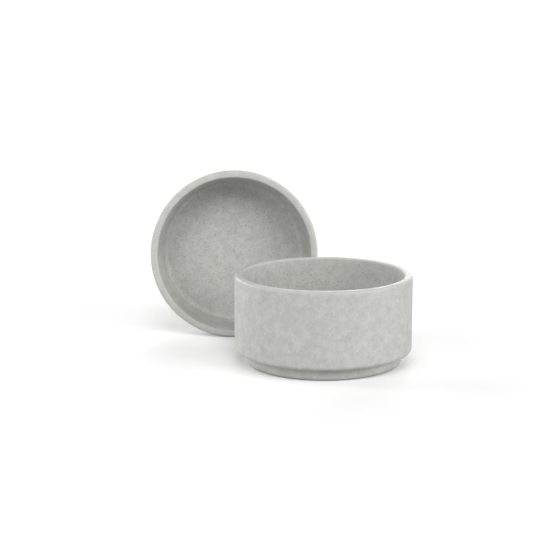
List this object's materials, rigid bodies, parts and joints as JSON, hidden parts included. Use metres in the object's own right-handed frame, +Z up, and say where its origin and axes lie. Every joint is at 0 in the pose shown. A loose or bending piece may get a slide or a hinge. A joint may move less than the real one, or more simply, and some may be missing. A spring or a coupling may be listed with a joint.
{
  "type": "dappen dish",
  "caption": "Stacking salon dish with a stepped foot, and a matching shallow dish that seats in its mouth as a cover.",
  "frame": {"origin": "centre of the deep dish's underside, in the plane of its foot ring", "axes": "+Z up along the deep dish's axis, +Y to the back, where the shallow dish lies on its side, +X to the right seen from the front"},
  "size_m": [0.0906, 0.0884, 0.0596],
  "materials": {
    "deep_dish_body": "satin matt, speckled and softly mottled stone grey",
    "shallow_dish_body": "satin matt, speckled and softly mottled stone grey"
  },
  "bodies": {
    "deep_dish": {"deep_dish": "deep_dish_body"},
    "shallow_dish": {"shallow_dish": "shallow_dish_body"}
  },
  "joints": [
    {"name": "shallow_dish_tip", "type": "hinge", "parent": "deep_dish", "child": "shallow_dish", "pos_m": [-0.03139, 0.05251, 0.00112], "axis": [-0.999, -0.0454, 0], "range_deg": [0, 85]}
  ]
}
